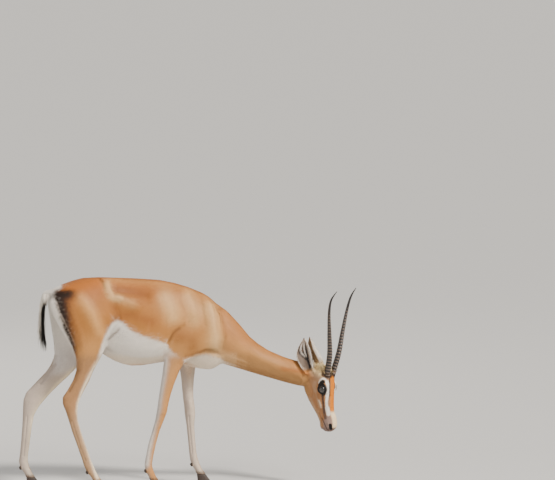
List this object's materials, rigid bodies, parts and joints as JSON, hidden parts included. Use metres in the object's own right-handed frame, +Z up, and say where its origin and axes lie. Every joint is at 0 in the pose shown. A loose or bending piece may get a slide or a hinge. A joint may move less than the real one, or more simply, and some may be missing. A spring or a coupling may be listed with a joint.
{
  "type": "grant's gazelle",
  "caption": "Life-size still figure of a female gazelle walking with lowered head, with slender ringed horns.",
  "frame": {"origin": "on the floor, under the middle of the whole box", "axes": "+X the way she walks, +Y to her left, +Z up"},
  "size_m": [1.3922, 0.2988, 0.8811],
  "materials": {
    "coat": "short, smooth, slightly glossy hair",
    "tail_hair": "long dark hair",
    "eye": "wet gloss",
    "horn": "worn keratin with raised rings",
    "hoof": "dull keratin"
  },
  "bodies": {
    "root": {"torso": "coat", "neck": "coat", "head": "coat", "tail": "tail_hair", "eye_left": "eye", "eye_right": "eye", "ear_left": "coat", "ear_right": "coat", "horn_left": "horn", "horn_right": "horn", "hind_right_upper": "coat", "hind_right_lower": "coat", "hind_right_hoof_inner": "hoof", "hind_right_hoof_outer": "hoof", "hind_left_upper": "coat", "hind_left_lower": "coat", "hind_left_hoof_inner": "hoof", "hind_left_hoof_outer": "hoof", "fore_right_upper": "coat", "fore_right_lower": "coat", "fore_right_hoof_inner": "hoof", "fore_right_hoof_outer": "hoof", "fore_left_upper": "coat", "fore_left_lower": "coat", "fore_left_hoof_inner": "hoof", "fore_left_hoof_outer": "hoof"}
  },
  "joints": []
}
